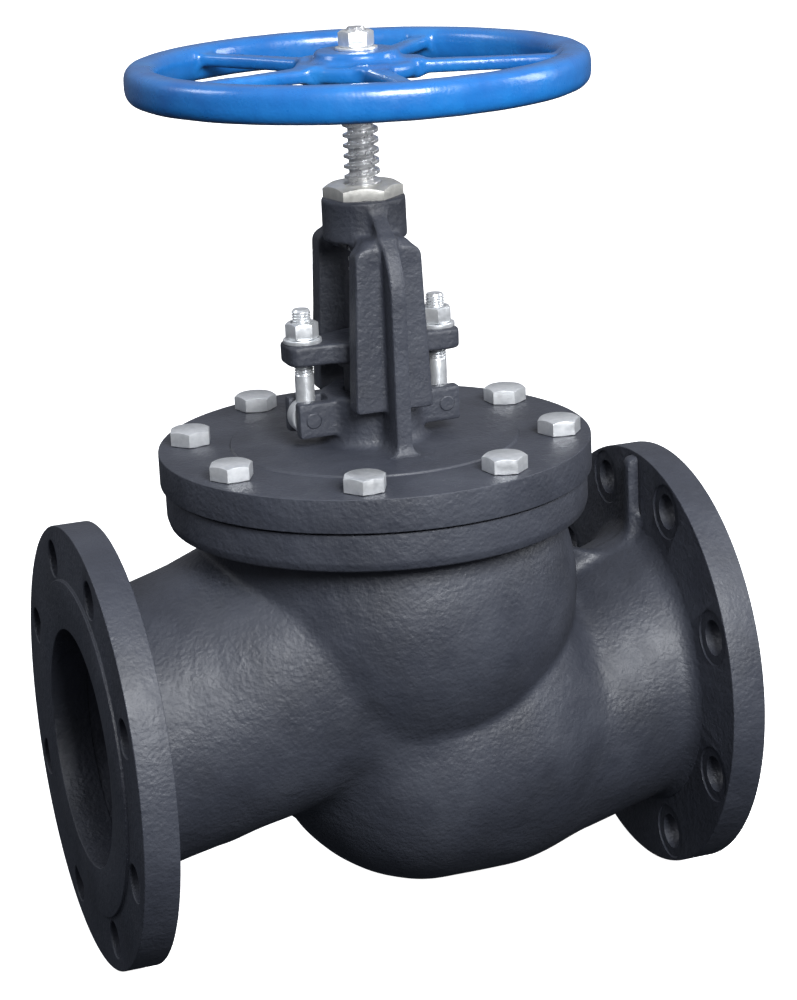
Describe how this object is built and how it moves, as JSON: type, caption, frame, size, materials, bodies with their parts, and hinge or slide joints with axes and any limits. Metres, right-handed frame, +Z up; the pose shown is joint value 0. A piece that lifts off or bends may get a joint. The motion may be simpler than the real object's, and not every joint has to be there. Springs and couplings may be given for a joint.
{
  "type": "globe valve",
  "caption": "Flanged globe valve with an S-shaped flow body, a bolted bonnet and open yoke, and a rising handwheel that lifts a flat disc off its seat.",
  "frame": {"origin": "centre of the inlet flange's raised gasket face, on the pipe axis", "axes": "+X runs along the pipe with the flow, from the inlet to the outlet; +Z runs up along the stem to the handwheel; +Y completes the set and is the valve's plane of symmetry's normal"},
  "size_m": [0.406, 0.282, 0.5701],
  "materials": {
    "cast_iron": "black semi-gloss paint over a fine sand-cast skin",
    "bronze": "machined bronze",
    "yoke_bronze": "pale machined bronze",
    "stainless": "turned bright steel",
    "zinc_steel": "bright zinc plate",
    "gasket": "dull graphite sheet",
    "packing": "braided graphite",
    "blue_paint": "glossy blue paint on a cast wheel"
  },
  "bodies": {
    "casing": {"body": "cast_iron", "seat_ring": "bronze", "bonnet": "cast_iron", "bonnet_gasket": "gasket", "bonnet_bolts": "zinc_steel", "back_seat_bush": "bronze", "packing_washer": "stainless", "packing_rings": "packing", "gland_eye_bolts": "zinc_steel", "eye_bolt_pins": "cast_iron", "yoke_nut": "yoke_bronze"},
    "gland": {"gland_follower": "cast_iron", "gland_flange": "cast_iron", "gland_washers": "zinc_steel", "gland_nuts": "zinc_steel"},
    "disc": {"disc": "bronze", "disc_face_ring": "stainless", "disc_nut": "bronze"},
    "stem": {"stem": "stainless", "handwheel": "blue_paint", "handwheel_washer": "zinc_steel", "handwheel_nut": "zinc_steel"}
  },
  "joints": [
    {"name": "disc_lift", "type": "slide", "parent": "casing", "child": "disc", "axis": [0, 0, 1], "range_m": [-0.0381, 0]},
    {"name": "stem_turn", "type": "hinge", "parent": "disc", "child": "stem", "pos_m": [0.203, 0, 0], "axis": [0, 0, 1], "range_deg": [-2160, 0]},
    {"name": "gland_takeup", "type": "slide", "parent": "casing", "child": "gland", "axis": [0, 0, 1], "range_m": [-0.006, 0], "deforming": ["packing_rings"]}
  ],
  "couplings": [
    {"joint": "stem_turn", "follows": "disc_lift", "rad_per_m": 989.48}
  ]
}
